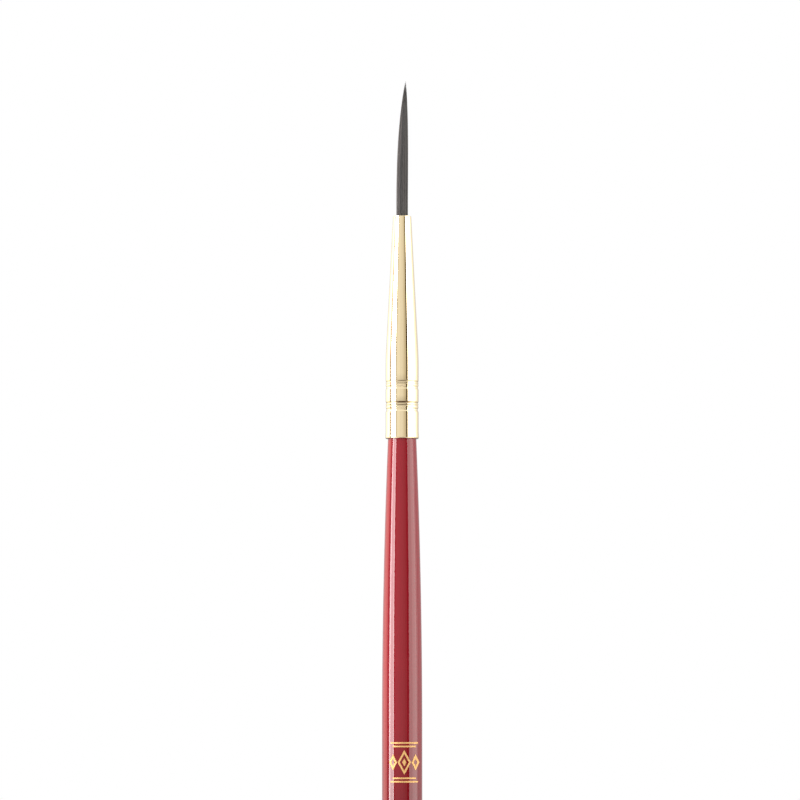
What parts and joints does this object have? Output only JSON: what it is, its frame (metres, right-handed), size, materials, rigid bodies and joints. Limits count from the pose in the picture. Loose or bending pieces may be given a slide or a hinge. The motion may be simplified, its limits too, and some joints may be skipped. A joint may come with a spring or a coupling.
{
  "type": "fine detail brush",
  "caption": "Slim round detail brush: tapered lacquered handle, crimped conical metal ferrule and a long fine point of dark hair.",
  "frame": {"origin": "the tail end of the handle, on the brush's axis", "axes": "+Z along the brush from the tail end to the point of the hair; the foil ornament faces -Y"},
  "size_m": [0.0058, 0.0058, 0.1807],
  "materials": {
    "handle_wood": "fine-grained turned wood, bare where it is glued",
    "red_lacquer": "deep red glossy lacquer",
    "gold_foil": "hot-stamped gold foil",
    "ferrule_brass": "polished pale gold",
    "glue": "set contact glue",
    "resin": "set amber resin",
    "thread": "twisted thread",
    "hair": "fine tapered filaments with a soft sheen"
  },
  "bodies": {
    "brush": {"handle_core": "handle_wood", "handle_lacquer": "red_lacquer", "foil_ornament": "gold_foil", "ferrule": "ferrule_brass", "handle_glue": "glue", "epoxy_plug": "resin", "binding_thread": "thread", "tuft_root": "hair"},
    "tuft_lower": {"tuft_lower": "hair"},
    "tuft_middle": {"tuft_middle": "hair"},
    "tuft_point": {"tuft_point": "hair"}
  },
  "joints": [
    {"name": "tuft_flex", "type": "hinge", "parent": "brush", "child": "tuft_lower", "pos_m": [0.00001, 0, 0.16437], "axis": [0, 1, 0], "range_deg": [-20, 20], "stiffness_Nm_per_rad": 0.0009},
    {"name": "tuft_flex_middle", "type": "hinge", "parent": "tuft_lower", "child": "tuft_middle", "pos_m": [0.00011, 0, 0.1709], "axis": [0, 1, 0], "range_deg": [-20, 20]},
    {"name": "tuft_flex_point", "type": "hinge", "parent": "tuft_middle", "child": "tuft_point", "pos_m": [0.00033, 0, 0.17743], "axis": [0, 1, 0], "range_deg": [-20, 20]}
  ],
  "couplings": [
    {"joint": "tuft_flex_middle", "follows": "tuft_flex", "ratio": 1},
    {"joint": "tuft_flex_point", "follows": "tuft_flex", "ratio": 1}
  ]
}
